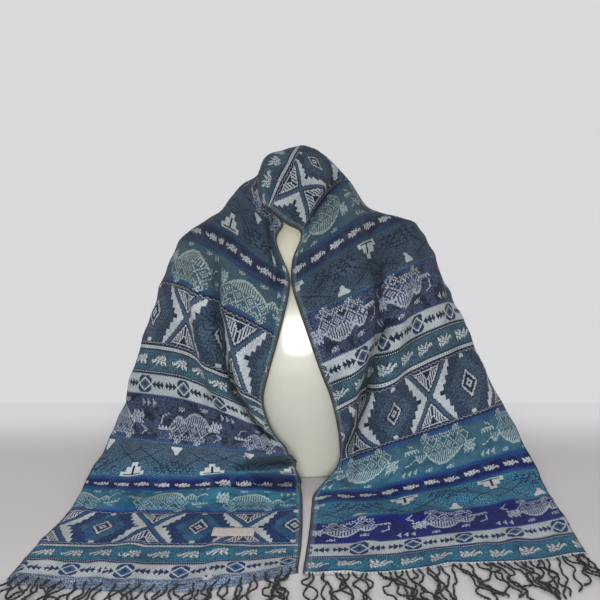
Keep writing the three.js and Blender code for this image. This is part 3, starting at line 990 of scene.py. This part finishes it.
# ---- twisted fringe
fringe = {
    "tassels": 23,  # on each layer's end
    "length": 0.104,
    "lengthShare": (0.85, 1.03),
    "ply": 0.00094,  # radius of one of the two plies
    "plyOffset": 0.85,  # from the tassel's middle to a ply's, in radii
    "restLevel": 2.1,  # of the middle above the table, in radii
    "pitch": 0.011,
    "rings": 26,
    "sides": 5,
    "seed": 31,
    "spread": 0.25,  # of the roots, in spacings, and of the headings, in radians
    "turns": ((0.25, 1.0), (0.1, 0.5)),  # of the long and the short waves, in radians
    "waves": ((0.035, 0.07), (0.015, 0.03)),
    "drift": 0.5,
    "rides": (0.0, 0.0018, 0.0036),  # over the tassels beneath
    "swingRun": 0.02,  # the waves are full from here on
    "dropRun": 0.012,
    "knot": 1.35,
    "tip": 0.5,
    "headings": (-92, -86),  # of the left and the right fringe, in degrees
    "fuzz": (900.0, 2.0),
    "fuzzFade": (0.35, 0.65),
    "relief": (0.5, 0.0004),
    "looks": {"Roughness": 0.8, "Sheen Weight": 0.05},
}
yarnDyes = {"yarn_black": ("030304", "0c0d0f"), "yarn_slate": ("0e1013", "30353b")}
restLevel = fringe["restLevel"] * fringe["ply"]


def tasselPath(chance, root, heading):
    # The middle of one tassel: down to the table, then on in loose waves.
    count = fringe["rings"]
    length = fringe["length"] * chance.uniform(*fringe["lengthShare"])
    step = length / (count - 1)
    turns = [chance.uniform(*span) for span in fringe["turns"]]
    waves = [chance.uniform(*span) for span in fringe["waves"]]
    phases = [chance.uniform(0, 2 * math.pi) for wave in waves]
    drift = chance.uniform(-fringe["drift"], fringe["drift"])
    rideUp = chance.choice(fringe["rides"])
    points = [np.array(root, dtype=float)]
    for i in range(1, count):
        run = i * step
        swing = min(run / fringe["swingRun"], 1)
        angle = heading + drift * run / length + swing * sum(
            turn * math.sin(2 * math.pi * run / wave + phase)
            for turn, wave, phase in zip(turns, waves, phases))
        drop = (root[2] - restLevel) * math.exp(-run / fringe["dropRun"])
        z = restLevel + rideUp * math.sin(math.pi * run / length) + drop
        last = points[-1]
        points.append(np.array([last[0] + step * math.cos(angle), last[1] + step * math.sin(angle), z]))
    return np.array(points)


def pathSides(path):
    # The ways to one side of a path and above it, at each of its points.
    way = unit(np.gradient(path, axis=0))
    side = unit(np.cross(way, (0.0, 0.0, 1.0)))
    return side, np.cross(side, way)


def addTube(path, radii, vertices, faces):
    side, up = pathSides(path)
    sides = fringe["sides"]
    first = len(vertices)
    for k in range(len(path)):
        for i in range(sides):
            turn = 2 * math.pi * i / sides
            vertices.append(path[k] + radii[k] * (math.cos(turn) * side[k] + math.sin(turn) * up[k]))
    for k in range(len(path) - 1):
        for i in range(sides):
            a, b = first + k * sides + i, first + k * sides + (i + 1) % sides
            faces.append((b, a, a + sides, b + sides))
    faces.append(tuple(first + i for i in range(sides)))
    faces.append(tuple(first + (len(path) - 1) * sides + i for i in reversed(range(sides))))


def edgePoint(edge, share):
    place = share * (len(edge) - 1)
    k = min(int(place), len(edge) - 2)
    return edge[k] + (edge[k + 1] - edge[k]) * (place - k)


def makeFringe(name, row, heading, finishes):
    # row is the cloth's last one, from the inner edge round the fold and back.
    chance = random.Random(fringe["seed"] + len(name))
    spread = fringe["spread"]
    fold = cloth["columns"]
    vertices, faces, slots = [], [], []
    for edge in (row[:fold + 1], row[fold:][::-1]):
        for k in range(fringe["tassels"]):
            root = edgePoint(edge, (k + 0.5 + chance.uniform(-spread, spread)) / fringe["tassels"])
            root[2] = max(root[2], restLevel)
            path = tasselPath(chance, root, heading + chance.uniform(-spread, spread))
            runs = np.linspace(0, fringe["length"], len(path))
            side, up = pathSides(path)
            start = chance.uniform(0, math.pi)
            for ply in range(2):
                turn = (2 * math.pi * runs / fringe["pitch"] + start + ply * math.pi)[:, None]
                offset = np.cos(turn) * side + np.sin(turn) * up
                radii = np.full(len(path), fringe["ply"])
                radii[-2] *= fringe["knot"]
                radii[-1] *= fringe["tip"]
                before = len(faces)
                addTube(path + fringe["plyOffset"] * fringe["ply"] * offset, radii, vertices, faces)
                slots += [ply] * (len(faces) - before)
    return meshThing(name, np.array(vertices) + axis, faces, finishes, slots)


def yarnFinish(name, codes):
    finish, flow = newFinish(name)
    fuzz = flow.make("TexCoord", output="Object").noise(*fringe["fuzz"])
    colour = fuzz.fade(*fringe["fuzzFade"]).tint(*(dye(code) for code in codes))
    return plugIn(finish, colour, fringe["looks"], fuzz, fringe["relief"])


yarns = [yarnFinish(name, codes) for name, codes in yarnDyes.items()]
clothRows = draped[2] - axis
leftWay, rightWay = (math.radians(turn) for turn in fringe["headings"])
fringeLeft = makeFringe("fringe_left_tassels", clothRows[0], leftWay, yarns)
fringeRight = makeFringe("fringe_right_tassels", clothRows[-1], rightWay, yarns)
for thing, node in ((fringeLeft, "fringe_left"), (fringeRight, "fringe_right")):
    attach(thing, "root")
    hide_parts(node)
print("fringe twisted")


# ---- the small satin label, left bare
label = {
    "along": (-0.866, -0.842), "across": (0.066, 0.126), "steps": (6, 14),
    "clear": 0.0006, "thickness": 0.0004,
    "dyes": ("c9bcb6", "b7a8a2", "8d8a90"), "grain": (300.0, 2.0), "grainFade": (0.3, 0.7),
    "stitchFrom": 0.0102,  # from its middle to the row of stitches
    "stitchPitch": 0.003, "stitchGap": 0.45, "thread": 0.0007, "relief": (0.3, 0.0003),
    "looks": {"Roughness": 0.42, "Sheen Weight": 0.3},
}


def makeLabel():
    alongs = np.linspace(*label["along"], label["steps"][0] + 1)
    acrosses = np.linspace(*label["across"], label["steps"][1] + 1)
    points, normals = drapeGrid(alongs, alongs, np.zeros(len(alongs)))
    spots = acrosses / cloth["foldedWidth"] * cloth["columns"]
    k = spots.astype(int)
    level = cloth["layerOffset"] + cloth["thickness"] / 2 + label["clear"]
    middle = points[:, k] + (points[:, k + 1] - points[:, k]) * (spots - k)[:, None]
    grid = middle + normals[:, k] * level + axis
    thing = meshThing("satin_label", grid, quadFaces(*grid.shape[:2]), [labelFinish()],
                      uvLayers=[("weave", flatPlaces(alongs, acrosses))])
    applyModifier(thing, "SOLIDIFY", thickness=label["thickness"], offset=0.0)
    return thing


def labelFinish():
    finish, flow = newFinish("label_satin")
    place = flow.make("UVMap", {"uv_map": "weave"})
    across, along = place.part(0), place.part(1)
    first, second, thread = (dye(code) for code in label["dyes"])
    satin = place.noise(*label["grain"]).fade(*label["grainFade"]).tint(first, second)
    nearEdge = abs(along - sum(label["along"]) / 2) > label["stitchFrom"]
    stitches = nearEdge * ((across / label["stitchPitch"]).fract() > label["stitchGap"])
    height = (along * (2 * math.pi / label["thread"])).sine() + stitches
    return plugIn(finish, stitches.tint(satin, thread), label["looks"], height, label["relief"])


satinLabel = makeLabel()
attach(satinLabel, "root")
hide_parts("shawl_label")
print("label sewn on")


# ---- table top and light
stage = {"halfWidth": 2.6, "front": -1.6, "back": 0.42, "thickness": 0.02, "clear": 0.0004,
         "rounding": 0.006, "paleFrom": 0.02, "paleTo": 0.34, "dyes": ("c9c6c6", "f4f4f5"),
         "looks": {"Roughness": 0.75, "Specular IOR Level": 0.2}}
light = {"place": (-0.02, -1.34, 0.335), "target": (0, 0, 0.26), "size": (0.34, 0.28), "watts": 9,
         "room": "f0f0f2", "roomStrength": 0.80}


def makeStage():
    # One pale board, which grows paler towards its back edge.
    front, back, thickness = stage["front"], stage["back"], stage["thickness"]
    middle = axis + np.array((0, (front + back) / 2, -thickness / 2 - stage["clear"]))
    bpy.ops.mesh.primitive_cube_add(size=1, location=middle)
    board = bpy.context.object
    board.name = board.data.name = "table_top"
    board.scale = (2 * stage["halfWidth"], back - front, thickness)
    bpy.ops.object.transform_apply(location=True, rotation=True, scale=True)
    applyModifier(board, "BEVEL", width=stage["rounding"], segments=3)
    finish, flow = newFinish("pale_board")
    depth = flow.make("TexCoord", output="Object").part(1)
    paler = depth.fade(axis[1] + stage["paleFrom"], axis[1] + stage["paleTo"])
    colour = paler.tint(*(dye(code) for code in stage["dyes"]))
    board.data.materials.append(plugIn(finish, colour, stage["looks"]))


def makeLight():
    bpy.ops.object.light_add(type="AREA", location=np.array(light["place"]) + axis)
    lamp = bpy.context.object
    lamp.name = "key"
    lamp.data.shape = "RECTANGLE"
    lamp.data.size, lamp.data.size_y = light["size"]
    lamp.data.energy = light["watts"]
    way = np.subtract(light["target"], light["place"])
    lamp.rotation_euler = (math.atan2(math.hypot(way[0], way[1]), -way[2]), 0,
                           math.atan2(way[1], way[0]) - math.pi / 2)
    world = bpy.context.scene.world or bpy.data.worlds.new("room")
    bpy.context.scene.world = world
    world.use_nodes = True
    back = world.node_tree.nodes["Background"]
    back.inputs["Color"].default_value = dye(light["room"])
    back.inputs["Strength"].default_value = light["roomStrength"]


makeStage()
makeLight()
bpy.context.scene.view_settings.view_transform = "Standard"
print("stage lit")
